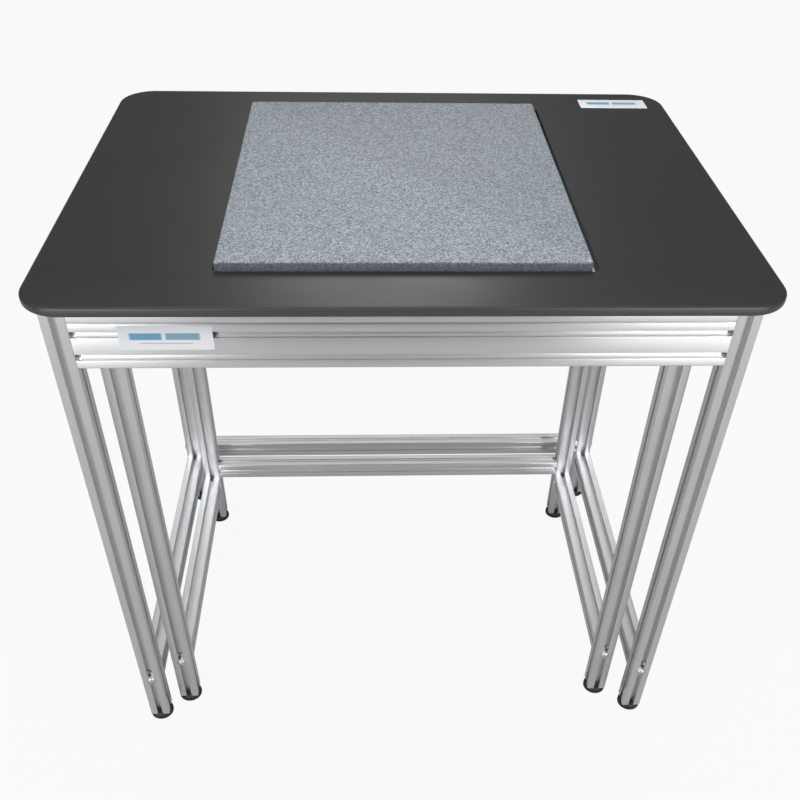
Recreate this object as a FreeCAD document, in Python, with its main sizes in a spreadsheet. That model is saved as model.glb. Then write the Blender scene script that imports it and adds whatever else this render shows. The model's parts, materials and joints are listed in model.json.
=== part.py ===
import FreeCAD, Part
import os

import Sketcher
from FreeCAD import Placement, Rotation, Vector

# Weighing balance table: a laminate top with a cut-out on an outer frame of slotted aluminium profile, and a
# granite slab in the cut-out that stands on a second frame of its own inside the first.
# Frame: origin under the middle of the top at floor level, +X to the right, +Y to the back, +Z up, mm.

# Every driving dimension: alias, value in mm, what it is.
DIMENSIONS = [
    ("top_length", 850, "tabletop, left to right"),
    ("top_depth", 680, "tabletop, front to back"),
    ("top_thickness", 12, "tabletop board"),
    ("top_height", 800, "floor to the top's upper face"),
    ("top_corner", 50, "tabletop corner radius in plan"),
    ("top_edge_round", 3, "rounding of the tabletop's outer edges"),
    ("cutout_length", 440, "cut-out for the slab, left to right"),
    ("cutout_depth", 524, "cut-out for the slab, front to back"),
    ("cutout_back", 4, "cut-out's middle behind the top's middle"),
    ("cutout_corner", 6, "cut-out corner radius"),
    ("slab_length", 431, "granite slab, left to right"),
    ("slab_depth", 518, "granite slab, front to back"),
    ("slab_thickness", 40, "granite slab"),
    ("slab_proud", 10, "slab above the tabletop"),
    ("slab_left", 3, "slab's middle left of the top's middle"),
    ("slab_back", 3.5, "slab's middle behind the top's middle"),
    ("slab_chamfer", 1, "chamfer on the slab's edges"),
    ("slab_pad_height", 8, "rubber pad under the slab"),
    ("slab_pad_spread", 340, "pads' spacing, left to right"),
    ("top_pad_height", 5, "rubber pad under the tabletop"),
    ("pad_size", 25, "rubber pads' side"),
    ("profile", 30, "side of the square profile"),
    ("profile_corner", 2, "profile's outer corner radius"),
    ("slot_opening", 8, "T-slot's opening"),
    ("slot_lip", 2.5, "thickness of the lips beside the opening"),
    ("slot_cavity", 16.5, "T-slot's widest width"),
    ("slot_shoulder", 4.7, "depth where the cavity starts to narrow"),
    ("slot_floor", 8.4, "width of the T-slot's floor"),
    ("slot_depth", 8.8, "depth of the T-slot"),
    ("core_bore", 8.6, "bore along the profile's core"),
    ("cross_hole", 8.6, "bolt hole across a leg"),
    ("table_width", 826, "outer frame over its legs, left to right"),
    ("table_depth", 586, "outer frame over its legs, front to back"),
    ("table_left", 2, "outer frame's middle left of the top's middle"),
    ("table_back", 2, "outer frame's middle behind the top's middle"),
    ("stand_width", 730, "inner frame over its legs, left to right"),
    ("stand_depth", 482, "inner frame over its legs, front to back"),
    ("stand_left", 7, "inner frame's middle left of the top's middle"),
    ("stand_front", 14, "inner frame's middle in front of the top's middle"),
    ("cap_height", 3, "cap on an inner leg's top"),
    ("low_rail_height", 87, "floor to the low side rails"),
    ("low_beam_height", 117, "floor to the low rear beams"),
    ("foot_height", 12, "rubber foot"),
    ("foot_radius", 18.5, "rubber foot at its widest"),
    ("foot_sole", 15.5, "radius of the foot's flat sole"),
    ("foot_crown", 11, "radius of the foot's flat top"),
    ("stud_radius", 4, "M8 stud"),
    ("stud_length", 33, "M8 stud, with the part inside the foot"),
    ("stud_socket", 5, "depth of the stud in the foot"),
    ("stud_hole", 4.2, "radius of the stud's hole in the foot"),
    ("bolt_shank", 4, "radius of an M8 bolt"),
    ("bolt_length", 50, "M8 bolt under its head"),
    ("bolt_head", 7, "radius of an M8 button head"),
    ("bolt_head_height", 4.4, "height of an M8 button head"),
    ("bolt_socket", 5, "hex socket across its flats"),
    ("bolt_socket_depth", 2.6, "hex socket's depth"),
    ("screw_shank", 3, "radius of an M6 countersunk screw"),
    ("screw_length", 10, "M6 countersunk screw, overall"),
    ("screw_head_height", 2.8, "height of the countersunk head, at 90 degrees"),
    ("screw_socket", 4, "hex socket across its flats"),
    ("screw_socket_depth", 1.8, "hex socket's depth"),
    ("screw_play", 0.2, "room round a screw, on the radius"),
    ("insert_hole", 3.2, "radius of a blind hole in the tabletop"),
    ("insert_depth", 8, "blind hole's depth"),
    ("bracket_width", 25, "angle bracket along its corner"),
    ("bracket_leg", 30, "angle bracket's leaf on the frame"),
    ("bracket_arm", 25, "angle bracket's other leaf"),
    ("plate_thickness", 3, "brackets' and joining plates' thickness"),
    ("bracket_leg_hole", 20, "corner to the hole in the leaf on the frame"),
    ("bracket_arm_hole", 15, "corner to the hole in the other leaf"),
    ("bracket_spread", 600, "brackets on the front and rear rails, apart"),
    ("plate_height", 50, "joining plate"),
    ("plate_spread", 200, "joining plates' spacing"),
    ("nut_width", 15, "slot nut across its wings"),
    ("nut_length", 14, "slot nut along the slot"),
    ("nut_height", 5, "slot nut"),
    ("nut_wing", 2, "height of the nut's wings"),
    ("nut_nose", 9, "width of the nut's narrow side"),
    ("strip_width", 7.6, "cover strip between the lips"),
    ("strip_crown", 4.8, "flat of the cover strip's face"),
    ("strip_bevel", 0.6, "depth of the bevel beside that flat"),
    ("strip_flange", 10.4, "cover strip behind the lips"),
    ("strip_flange_height", 1, "thickness of that flange"),
    ("strip_gap", 7, "cover strip's end to the leg"),
    ("short_strip_gap", 73, "the outer beam's strips' right end to the leg"),
    ("strip_break", 7, "break in the apron's upper strip, beside the sticker"),
    ("strip_tuck", 3, "end of that strip under the sticker"),
    ("label_thickness", 0.3, "stickers"),
    ("front_label_length", 108, "sticker on the apron"),
    ("front_label_height", 31, "sticker on the apron"),
    ("front_label_inset", 54, "leg to the sticker on the apron"),
    ("front_label_lift", 26, "apron's lower edge to the sticker"),
    ("top_label_length", 105, "sticker on the top"),
    ("top_label_depth", 36, "sticker on the top"),
    ("top_label_side", 28.5, "top's right edge to its sticker"),
    ("top_label_rear", 31.5, "top's rear edge to its sticker"),
]

OVERCUT = 1.0
SMALL = 1e-9
START, END = 1, 2
ORIGIN = (-1, 1)
SIDEWAYS_AXIS, UPRIGHT_AXIS = -1, -2

RIGHT, LEFT = Vector(1, 0, 0), Vector(-1, 0, 0)
BACK, FRONT = Vector(0, 1, 0), Vector(0, -1, 0)
UP, DOWN = Vector(0, 0, 1), Vector(0, 0, -1)


class Size:
    """A length in mm together with the spreadsheet expression that gives it."""

    def __init__(self, value, text):
        self.value = float(value)
        self.text = text

    def joined(self, sign, other, value):
        return Size(value, f"({self.text} {sign} {other.text})")

    def __add__(self, other):
        other = size(other)
        return self.joined("+", other, self.value + other.value)

    def __sub__(self, other):
        other = size(other)
        return self.joined("-", other, self.value - other.value)

    def __mul__(self, factor):
        factor = size(factor)
        return self.joined("*", factor, self.value * factor.value)

    def __truediv__(self, divisor):
        divisor = size(divisor)
        return self.joined("/", divisor, self.value / divisor.value)

    def __neg__(self):
        return Size(-self.value, f"(0 - {self.text})")


def size(value):
    """A plain number as a Size."""
    return value if isinstance(value, Size) else Size(value, f"{value:g}")


doc = FreeCAD.newDocument("balance_table")
sheet = doc.addObject("Spreadsheet::Sheet", "Dimensions")
D = {}
for row, (alias, value, note) in enumerate(DIMENSIONS, start=1):
    sheet.set(f"A{row}", alias)
    sheet.set(f"B{row}", str(value))
    sheet.setAlias(f"B{row}", alias)
    sheet.set(f"C{row}", note)
    D[alias] = Size(value, f"Dimensions.{alias}")
doc.recompute()

exported = []


# ---- placing ----

def facing(along, outward):
    """The turn that takes local +Z to along and local +Y to outward."""
    return Rotation(outward.cross(along), outward, along, "ZYX")


def place(thing, position, turn=None):
    """Put a piece at a bound position, turned if need be."""
    spot = [size(value) for value in position]
    thing.Placement = Placement(Vector(*(value.value for value in spot)), turn or Rotation())
    for axis, value in zip("xyz", spot):
        thing.setExpression(f"Placement.Base.{axis}", value.text)


# ---- sketches ----

def new_sketch(body, name, plane):
    """A sketch on one of the body's own origin planes."""
    support = next(item for item in body.Origin.OriginFeatures if item.Role == plane)
    sketch = body.newObject("Sketcher::SketchObject", name)
    sketch.AttachmentSupport = [(support, "")]
    sketch.MapMode = "FlatFace"
    return sketch


def hold(sketch, edge, point, position):
    """Tie one point of the sketch to the origin by two bound distances."""
    kinds = (("DistanceX", UPRIGHT_AXIS), ("DistanceY", SIDEWAYS_AXIS))
    for (kind, axis), value in zip(kinds, position):
        value = size(value)
        if abs(value.value) < SMALL:
            sketch.addConstraint(Sketcher.Constraint("PointOnObject", edge, point, axis))
        else:
            constraint = Sketcher.Constraint(kind, *ORIGIN, edge, point, value.value)
            index = sketch.addConstraint(constraint)
            sketch.setExpression(f"Constraints[{index}]", value.text)


def draw_outline(sketch, corners):
    """A closed polygon through the corners."""
    corners = [(size(x), size(y)) for x, y in corners]
    points = [Vector(x.value, y.value, 0) for x, y in corners]
    ends = points[1:] + points[:1]
    first = sketch.GeometryCount
    sketch.addGeometry([Part.LineSegment(start, end) for start, end in zip(points, ends)], False)
    count = len(points)
    joins = [Sketcher.Constraint("Coincident", first + step, END, first + (step + 1) % count, START)
             for step in range(count)]
    sketch.addConstraint(joins)
    for step, corner in enumerate(corners):
        hold(sketch, first + step, START, corner)


def draw_rectangle(sketch, width, depth, middle=(0, 0)):
    """A rectangle about the given middle."""
    x, y = (size(value) for value in middle)
    draw_outline(sketch, [(x - width / 2, y - depth / 2), (x + width / 2, y - depth / 2),
                          (x + width / 2, y + depth / 2), (x - width / 2, y + depth / 2)])


def draw_circle(sketch, radius, middle=(0, 0)):
    """A circle about the given middle."""
    x, y = (size(value) for value in middle)
    centre = Vector(x.value, y.value, 0)
    edge = sketch.addGeometry(Part.Circle(centre, UP, radius.value), False)
    hold(sketch, edge, 3, (x, y))
    index = sketch.addConstraint(Sketcher.Constraint("Radius", edge, radius.value))
    sketch.setExpression(f"Constraints[{index}]", radius.text)


# ---- features ----

def new_body(name):
    """An empty body with its label."""
    body = doc.addObject("PartDesign::Body", name)
    body.Label = name
    return body


def pad(body, sketch, length, both_ways=False):
    """Raise a sketch along its normal."""
    feature = body.newObject("PartDesign::Pad", f"{body.Name}_pad")
    feature.Profile = sketch
    feature.SideType = "Symmetric" if both_ways else "One side"
    feature.Length = length.value
    feature.setExpression("Length", length.text)
    sketch.Visibility = False
    doc.recompute()
    return feature


def cut(body, sketch, depth=None, flipped=False):
    """Cut a sketch out of the body: to a depth, or right through both ways."""
    before = body.Shape.Volume
    feature = body.newObject("PartDesign::Pocket", f"{sketch.Name}_cut")
    feature.Profile = sketch
    if depth is None:
        feature.Type = "ThroughAll"
        feature.SideType = "Symmetric"
    else:
        feature.Type = "Length"
        feature.Length = depth.value
        feature.setExpression("Length", depth.text)
        feature.Reversed = flipped
    sketch.Visibility = False
    doc.recompute()
    if not body.Shape.Volume < before:
        raise ValueError(f"{feature.Name} cuts nothing")
    return feature


def turn_round(body, sketch):
    """Revolve a half outline about the sketch's upright axis."""
    feature = body.newObject("PartDesign::Revolution", f"{body.Name}_turned")
    feature.Profile = sketch
    feature.ReferenceAxis = (sketch, ["V_Axis"])
    feature.Angle = 360
    sketch.Visibility = False
    doc.recompute()
    return feature


def edges_where(shape, wanted):
    """The names of the edges that pass the test."""
    return [f"Edge{number}" for number, edge in enumerate(shape.Edges, start=1) if wanted(edge)]


def is_upright(edge):
    """Whether an edge is a straight line along local Z."""
    start, end = edge.Vertexes[0].Point, edge.Vertexes[-1].Point
    straight = edge.Curve.TypeId == "Part::GeomLine"
    return straight and abs(start.z - end.z) > SMALL and (start - end).cross(UP).Length < 1e-6


def soften(body, kind, names, amount):
    """Round or chamfer the named edges of the body's last feature."""
    feature = body.newObject(f"PartDesign::{kind}", f"{body.Name}_{kind.lower()}{len(body.Group)}")
    feature.Base = (body.Group[-2], names)
    prop = "Radius" if kind == "Fillet" else "Size"
    setattr(feature, prop, amount.value)
    feature.setExpression(prop, amount.text)
    doc.recompute()
    return feature


# ---- slotted profile ----

def slot_outline(reach, offset, sideways=False):
    """One T-slot, cut in from the face at the given reach."""
    half = [(D["slot_opening"] / 2, reach + OVERCUT),
            (D["slot_opening"] / 2, reach - D["slot_lip"]),
            (D["slot_cavity"] / 2, reach - D["slot_lip"]),
            (D["slot_cavity"] / 2, reach - D["slot_shoulder"]),
            (D["slot_floor"] / 2, reach - D["slot_depth"])]
    outline = [(across + offset, depth) for across, depth in half]
    outline += [(-across + offset, depth) for across, depth in reversed(half)]
    return [(depth, across) for across, depth in outline] if sideways else outline


def profile_bar(name, length, double=False):
    """A length of slotted profile along local Z, 30 x 30 or 60 x 30."""
    side = D["profile"]
    width = side * 2 if double else side
    cores = [-side / 2, side / 2] if double else [size(0)]
    body = new_body(name)
    section = new_sketch(body, f"{name}_section", "XY_Plane")
    draw_rectangle(section, width, side)
    bar = pad(body, section, length)
    soften(body, "Fillet", edges_where(bar.Shape, is_upright), D["profile_corner"])

    slots = new_sketch(body, f"{name}_slots", "XY_Plane")
    for core in cores:
        draw_outline(slots, slot_outline(side / 2, core))
    if double:
        draw_outline(slots, slot_outline(width / 2, size(0), sideways=True))
    first_slots = cut(body, slots)
    pattern = body.newObject("PartDesign::PolarPattern", f"{name}_all_slots")
    pattern.Originals = [first_slots]
    pattern.Axis = (slots, ["N_Axis"])
    pattern.Angle = 360
    pattern.Occurrences = 2 if double else 4
    body.Tip = pattern
    doc.recompute()

    bores = new_sketch(body, f"{name}_bores", "XY_Plane")
    for core in cores:
        draw_circle(bores, D["core_bore"] / 2, (core, 0))
    cut(body, bores)
    return body


def drill_across(body, plane, heights):
    """Bolt holes right through a leg, at heights above its lower end."""
    holes = new_sketch(body, f"{body.Name}_{plane[:2].lower()}_holes", plane)
    for height in heights:
        draw_circle(holes, D["cross_hole"] / 2, (0, height))
    cut(body, holes)


# ---- where things stand ----

half_profile = D["profile"] / 2
table_x = {"left": -D["table_left"] - D["table_width"] / 2 + half_profile,
           "right": -D["table_left"] + D["table_width"] / 2 - half_profile}
table_y = {"front": D["table_back"] - D["table_depth"] / 2 + half_profile,
           "rear": D["table_back"] + D["table_depth"] / 2 - half_profile}
stand_x = {"left": -D["stand_left"] - D["stand_width"] / 2 + half_profile,
           "right": -D["stand_left"] + D["stand_width"] / 2 - half_profile}
stand_y = {"front": -D["stand_front"] - D["stand_depth"] / 2 + half_profile,
           "rear": -D["stand_front"] + D["stand_depth"] / 2 - half_profile}
FRAMES = {"table": (table_x, table_y), "stand": (stand_x, stand_y)}

underside = D["top_height"] - D["top_thickness"]
table_leg_top = underside - D["top_pad_height"]
slab_underside = D["top_height"] + D["slab_proud"] - D["slab_thickness"]
stand_rail_top = slab_underside - D["slab_pad_height"]
stand_leg_top = stand_rail_top - D["cap_height"]

# the middles of the rails' cores, which the bolts run along
low_rail = D["low_rail_height"] + half_profile
low_beam = D["low_beam_height"] + half_profile
table_upper = table_leg_top - half_profile
apron_middle = table_leg_top - D["profile"] * 2
apron_cores = (apron_middle - half_profile, apron_middle + half_profile)
stand_upper = stand_rail_top - half_profile
stand_side_upper = stand_upper - D["profile"]


# ---- tabletop and slab ----

top_bracket_spots = []
for side_sign in (-1, 1):
    across = D["bracket_spread"] / 2 * side_sign
    top_bracket_spots.append((across, table_y["front"] + half_profile, BACK, RIGHT))
    top_bracket_spots.append((across, table_y["rear"] - half_profile, FRONT, RIGHT))
top_bracket_spots.append((table_x["left"] + half_profile, D["table_back"], RIGHT, BACK))
top_bracket_spots.append((table_x["right"] - half_profile, D["table_back"], LEFT, BACK))


def stepped(x, y, direction, distance):
    """A spot moved over the floor plan by a distance."""
    return x + distance * direction.x, y + distance * direction.y


top = new_body("tabletop")
board = new_sketch(top, "board_outline", "XY_Plane")
draw_rectangle(board, D["top_length"], D["top_depth"])
board_pad = pad(top, board, D["top_thickness"])
soften(top, "Fillet", edges_where(board_pad.Shape, is_upright), D["top_corner"])


def on_board_rim(edge):
    """Whether an edge lies in the board's upper or lower face."""
    box = edge.BoundBox
    return box.ZLength < SMALL


soften(top, "Fillet", edges_where(top.Shape, on_board_rim), D["top_edge_round"])
opening = new_sketch(top, "cutout_outline", "XY_Plane")
draw_rectangle(opening, D["cutout_length"], D["cutout_depth"], (0, D["cutout_back"]))
cut(top, opening)


def in_cutout_corner(edge):
    """Whether an edge is one of the cut-out's four upright corners."""
    point = edge.Vertexes[0].Point
    return is_upright(edge) and abs(abs(point.x) - D["cutout_length"].value / 2) < 1e-6


soften(top, "Fillet", edges_where(top.Shape, in_cutout_corner), D["cutout_corner"])
inserts = new_sketch(top, "insert_holes", "XY_Plane")
for x, y, inward, _ in top_bracket_spots:
    draw_circle(inserts, D["insert_hole"], stepped(x, y, inward, D["bracket_arm_hole"]))
cut(top, inserts, D["insert_depth"], flipped=True)
place(top, (0, 0, underside))
exported.append(top)

slab = new_body("granite_slab")
slab_outline = new_sketch(slab, "slab_outline", "XY_Plane")
draw_rectangle(slab_outline, D["slab_length"], D["slab_depth"])
slab_pad = pad(slab, slab_outline, D["slab_thickness"])
soften(slab, "Chamfer", edges_where(slab_pad.Shape, lambda edge: True), D["slab_chamfer"])
place(slab, (-D["slab_left"], D["slab_back"], slab_underside))
exported.append(slab)


# ---- legs and rails ----

LEG_TOPS = {"table": table_leg_top, "stand": stand_leg_top}
# heights of the bolts that run front to back, and of those that run sideways into the rails
SIDE_RAIL_HEIGHTS = {"table": (low_rail, table_upper), "stand": (low_rail, stand_side_upper)}
BEAM_HEIGHTS = {("table", "front"): apron_cores, ("table", "rear"): (low_beam,),
                ("stand", "front"): (stand_upper,), ("stand", "rear"): (low_beam, stand_upper)}

for frame, (columns, rows) in FRAMES.items():
    for row, y in rows.items():
        for side, x in columns.items():
            leg = profile_bar(f"{frame}_leg_{row}_{side}", LEG_TOPS[frame] - D["foot_height"])
            drill_across(leg, "XZ_Plane", [z - D["foot_height"] for z in SIDE_RAIL_HEIGHTS[frame]])
            drill_across(leg, "YZ_Plane", [z - D["foot_height"] for z in BEAM_HEIGHTS[frame, row]])
            place(leg, (x, y, D["foot_height"]))
            exported.append(leg)


def crosswise(name, frame, row, height, double=False):
    """A rail from left to right between two legs."""
    columns, rows = FRAMES[frame]
    start = columns["left"] + half_profile
    rail = profile_bar(name, D[f"{frame}_width"] - D["profile"] * 2, double)
    place(rail, (start, rows[row], height), facing(RIGHT, BACK))
    exported.append(rail)


def lengthwise(name, frame, side, height):
    """A rail from front to back between two legs."""
    columns, rows = FRAMES[frame]
    start = rows["front"] + half_profile
    rail = profile_bar(name, D[f"{frame}_depth"] - D["profile"] * 2)
    place(rail, (columns[side], start, height), facing(BACK, RIGHT))
    exported.append(rail)


crosswise("front_apron", "table", "front", apron_middle, double=True)
crosswise("front_upper_rail", "table", "front", table_upper)
crosswise("rear_upper_rail", "table", "rear", table_upper)
crosswise("table_low_rear_beam", "table", "rear", low_beam)
crosswise("stand_upper_rail_front", "stand", "front", stand_upper)
crosswise("stand_upper_rail_rear", "stand", "rear", stand_upper)
crosswise("stand_low_rear_beam", "stand", "rear", low_beam)
for side in ("left", "right"):
    lengthwise(f"table_upper_rail_{side}", "table", side, table_upper)
    lengthwise(f"table_low_rail_{side}", "table", side, low_rail)
    lengthwise(f"stand_upper_rail_{side}", "stand", side, stand_side_upper)
    lengthwise(f"stand_low_rail_{side}", "stand", side, low_rail)


# ---- feet ----

for frame, (columns, rows) in FRAMES.items():
    for row, y in rows.items():
        for side, x in columns.items():
            name = f"{frame}_foot_{row}_{side}"
            foot = new_body(name)
            half = new_sketch(foot, f"{name}_half", "XZ_Plane")
            shoulder = D["foot_height"] * 0.2, D["foot_height"] * 0.5, D["foot_height"] * 0.82
            draw_outline(half, [(0, 0), (D["foot_sole"], 0), (D["foot_radius"], shoulder[0]),
                                (D["foot_radius"], shoulder[1]), (D["foot_radius"] * 0.87, shoulder[2]),
                                (D["foot_crown"], D["foot_height"]), (D["stud_hole"], D["foot_height"]),
                                (D["stud_hole"], D["foot_height"] - D["stud_socket"]),
                                (0, D["foot_height"] - D["stud_socket"])])
            turn_round(foot, half)
            place(foot, (x, y, 0))
            exported.append(foot)

            stud = doc.addObject("Part::Cylinder", f"{frame}_stud_{row}_{side}")
            stud.Label = stud.Name
            for prop, amount in (("Radius", D["stud_radius"]), ("Height", D["stud_length"])):
                stud.setExpression(prop, amount.text)
            place(stud, (x, y, D["foot_height"] - D["stud_socket"]))
            exported.append(stud)


# ---- pieces that repeat: one pattern piece each, then copies of it ----

def hex_corners(across_flats):
    """The corners of a hexagon about the origin."""
    half = across_flats / 2
    tip = across_flats * 0.57735
    return [(half, tip / 2), (0, tip), (-half, tip / 2), (-half, -tip / 2), (0, -tip), (half, -tip / 2)]


def fastener(name, outline, socket, socket_depth, head_height):
    """A turned screw with its head up local Z and a hex socket cut down from the head's top."""
    body = new_body(name)
    half = new_sketch(body, f"{name}_half", "XZ_Plane")
    draw_outline(half, outline)
    turn_round(body, half)
    recess = new_sketch(body, f"{name}_socket", "XY_Plane")
    recess.setExpression("AttachmentOffset.Base.z", head_height.text)
    draw_outline(recess, hex_corners(socket))
    cut(body, recess, socket_depth)
    return body


head, head_height = D["bolt_head"], D["bolt_head_height"]
bolt = fastener("button_head_bolt",
                [(0, -D["bolt_length"]), (D["bolt_shank"], -D["bolt_length"]), (D["bolt_shank"], 0), (head, 0),
                 (head, head_height * 0.25), (head * 0.9, head_height * 0.6), (head * 0.74, head_height * 0.85),
                 (head * 0.5, head_height), (0, head_height)],
                D["bolt_socket"], D["bolt_socket_depth"], head_height)
screw = fastener("countersunk_screw",
                 [(0, -D["screw_length"]), (D["screw_shank"], -D["screw_length"]),
                  (D["screw_shank"], -D["screw_head_height"]),
                  (D["screw_shank"] + D["screw_head_height"], 0), (0, 0)],
                 D["screw_socket"], D["screw_socket_depth"], size(0))


def countersunk_hole(body, name, plane, middle, axis, surface):
    """A clearance hole through a plate, sunk at the surface where its axis leaves the plate."""
    hole = new_sketch(body, name, plane)
    draw_circle(hole, D["screw_shank"] + D["screw_play"], middle)
    cut(body, hole)

    def is_rim(edge):
        box = edge.BoundBox
        low, high = ((box.XMin, box.XMax), (box.YMin, box.YMax), (box.ZMin, box.ZMax))[axis]
        round_edge = edge.Curve.TypeId == "Part::GeomCircle"
        centre = edge.Curve.Center if round_edge else Vector()
        spot = [centre[other] for other in range(3) if other != axis]
        wanted = sorted(size(value).value for value in middle)
        near = all(abs(a - b) < 1e-6 for a, b in zip(sorted(spot), wanted))
        return round_edge and near and abs(low - surface) < 1e-6 and abs(high - surface) < 1e-6

    soften(body, "Chamfer", edges_where(body.Shape, is_rim), D["screw_head_height"])


thick = D["plate_thickness"]
bracket = new_body("angle_bracket")
angle = new_sketch(bracket, "angle_section", "XY_Plane")
draw_outline(angle, [(0, 0), (D["bracket_arm"], 0), (D["bracket_arm"], -thick), (thick, -thick),
                     (thick, -D["bracket_leg"]), (0, -D["bracket_leg"])])
pad(bracket, angle, D["bracket_width"], both_ways=True)
countersunk_hole(bracket, "leg_hole", "YZ_Plane", (-D["bracket_leg_hole"], 0), 0, thick.value)
countersunk_hole(bracket, "arm_hole", "XZ_Plane", (D["bracket_arm_hole"], 0), 1, -thick.value)

plate = new_body("flat_plate")
plate_outline = new_sketch(plate, "plate_outline", "XZ_Plane")
draw_rectangle(plate_outline, D["bracket_width"], D["plate_height"])
pad(plate, plate_outline, thick)
countersunk_hole(plate, "lower_hole", "XZ_Plane", (0, -half_profile), 1, -thick.value)
countersunk_hole(plate, "upper_hole", "XZ_Plane", (0, half_profile), 1, -thick.value)

nut = new_body("slot_nut")
nut_section = new_sketch(nut, "nut_section", "XY_Plane")
wing, nose = D["nut_width"] / 2, D["nut_nose"] / 2
draw_outline(nut_section, [(wing, -D["slot_lip"]), (wing, -D["slot_lip"] - D["nut_wing"]),
                           (nose, -D["slot_lip"] - D["nut_height"]), (-nose, -D["slot_lip"] - D["nut_height"]),
                           (-wing, -D["slot_lip"] - D["nut_wing"]), (-wing, -D["slot_lip"])])
pad(nut, nut_section, D["nut_length"], both_ways=True)
nut_hole = new_sketch(nut, "nut_hole", "XZ_Plane")
draw_circle(nut_hole, D["screw_shank"] + D["screw_play"])
cut(nut, nut_hole)


def cover_strip(name, length):
    """A strip that fills a slot's opening, held behind the lips. Its face is at local y = 0."""
    strip = new_body(name)
    section = new_sketch(strip, f"{name}_section", "XY_Plane")
    half = [(D["strip_crown"] / 2, size(0)), (D["strip_width"] / 2, -D["strip_bevel"]),
            (D["strip_width"] / 2, -D["slot_lip"]), (D["strip_flange"] / 2, -D["slot_lip"]),
            (D["strip_flange"] / 2, -D["slot_lip"] - D["strip_flange_height"])]
    draw_outline(section, half + [(-x, y) for x, y in reversed(half)])
    pad(strip, section, length)
    return strip


def block(name, length, depth, height):
    """A plain block with its lower face's middle at the origin."""
    body = new_body(name)
    outline = new_sketch(body, f"{name}_outline", "XY_Plane")
    draw_rectangle(outline, length, depth)
    pad(body, outline, height)
    return body


apron_length = D["table_width"] - D["profile"] * 2
label_end = D["front_label_inset"] + D["front_label_length"]
apron_strip = cover_strip("apron_strip", apron_length - D["strip_gap"] * 2)
left_strip = cover_strip("apron_left_strip", label_end - D["strip_tuck"] - D["strip_gap"])
right_strip = cover_strip("apron_right_strip", apron_length - label_end - D["strip_break"] - D["strip_gap"])
table_strip = cover_strip("table_beam_strip", apron_length - D["strip_gap"] - D["short_strip_gap"])
stand_strip = cover_strip("stand_beam_strip", D["stand_width"] - D["profile"] * 2 - D["strip_gap"] * 2)
slab_rest = block("slab_rest", D["pad_size"] * 1.6, D["pad_size"] * 0.8, D["slab_pad_height"])
top_rest = block("top_rest", D["pad_size"], D["pad_size"], D["top_pad_height"])
leg_cap = block("leg_cap", D["profile"], D["profile"], D["cap_height"])
soften(leg_cap, "Fillet", edges_where(leg_cap.Shape, is_upright), D["profile_corner"])


def group(name, copies):
    """Copies of pattern pieces, kept as separate solids under one name."""
    links = []
    for number, (pattern, position, turn) in enumerate(copies, start=1):
        link = doc.addObject("App::Link", f"{name}_{number}")
        link.LinkedObject = pattern
        place(link, position, turn)
        links.append(link)
    together = doc.addObject("Part::Compound", name)
    together.Label = name
    together.Links = links
    doc.recompute()
    exported.append(together)


# ---- bolts through the legs ----

for frame, (columns, rows) in FRAMES.items():
    rail_bolts, beam_bolts = [], []
    for row, y in rows.items():
        outward = FRONT if row == "front" else BACK
        for x in columns.values():
            for z in SIDE_RAIL_HEIGHTS[frame]:
                spot = (x, y + half_profile * outward.y, z)
                rail_bolts.append((bolt, spot, facing(outward, UP)))
        for side, x in columns.items():
            sideways = LEFT if side == "left" else RIGHT
            for z in BEAM_HEIGHTS[frame, row]:
                spot = (x + half_profile * sideways.x, y, z)
                beam_bolts.append((bolt, spot, facing(sideways, UP)))
    group(f"{frame}_rail_bolts", rail_bolts)
    group(f"{frame}_beam_bolts", beam_bolts)


# ---- cover strips ----

apron_face = table_y["front"] - half_profile
apron_start = table_x["left"] + half_profile + D["strip_gap"]
stand_start = stand_x["left"] + half_profile + D["strip_gap"]
lower_core, upper_core = apron_cores
break_end = table_x["left"] + half_profile + label_end + D["strip_break"]
group("apron_cover_strips",
      [(strip, (start, apron_face, core), facing(RIGHT, FRONT))
       for strip, start, core in ((apron_strip, apron_start, lower_core),
                                  (left_strip, apron_start, upper_core),
                                  (right_strip, break_end, upper_core))])
for name, strip, start, y in (("table_beam_cover_strips", table_strip, apron_start, table_y["rear"]),
                              ("stand_beam_cover_strips", stand_strip, stand_start, stand_y["rear"])):
    group(name, [(strip, (start, y, low_beam + half_profile), facing(RIGHT, UP)),
                 (strip, (start, y - half_profile, low_beam), facing(RIGHT, FRONT))])


# ---- rubber pads and caps ----

group("stand_leg_caps", [(leg_cap, (x, y, stand_leg_top), None)
                         for x in stand_x.values() for y in stand_y.values()])
group("slab_pads", [(slab_rest, (-D["slab_left"] + D["slab_pad_spread"] / 2 * sign, y, stand_rail_top), None)
                    for sign in (-1, 1) for y in stand_y.values()])
pad_spots = [(x, y) for x in table_x.values() for y in table_y.values()]
pad_spots += [(size(0), y) for y in table_y.values()]
pad_spots += [(x, D["table_back"]) for x in table_x.values()]
group("tabletop_pads", [(top_rest, (x, y, table_leg_top), None) for x, y in pad_spots])


# ---- brackets, plates, screws and slot nuts ----

frame_screws, slot_nuts, top_screws = [], [], []


def screw_into_slot(face, outward, along):
    """A screw and its nut for a plate that lies on a slotted face at the given spot."""
    head_top = tuple(spot + thick * part for spot, part in zip(face, outward))
    frame_screws.append((screw, head_top, facing(outward, along)))
    slot_nuts.append((nut, face, facing(along, outward)))


top_brackets = []
for x, y, inward, along in top_bracket_spots:
    top_brackets.append((bracket, (x, y, underside), facing(UP.cross(-inward), UP)))
    screw_into_slot((x, y, underside - D["bracket_leg_hole"]), inward, along)
    under_arm = stepped(x, y, inward, D["bracket_arm_hole"])
    top_screws.append((screw, (*under_arm, underside - thick), facing(DOWN, FRONT)))
group("top_brackets", top_brackets)

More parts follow.
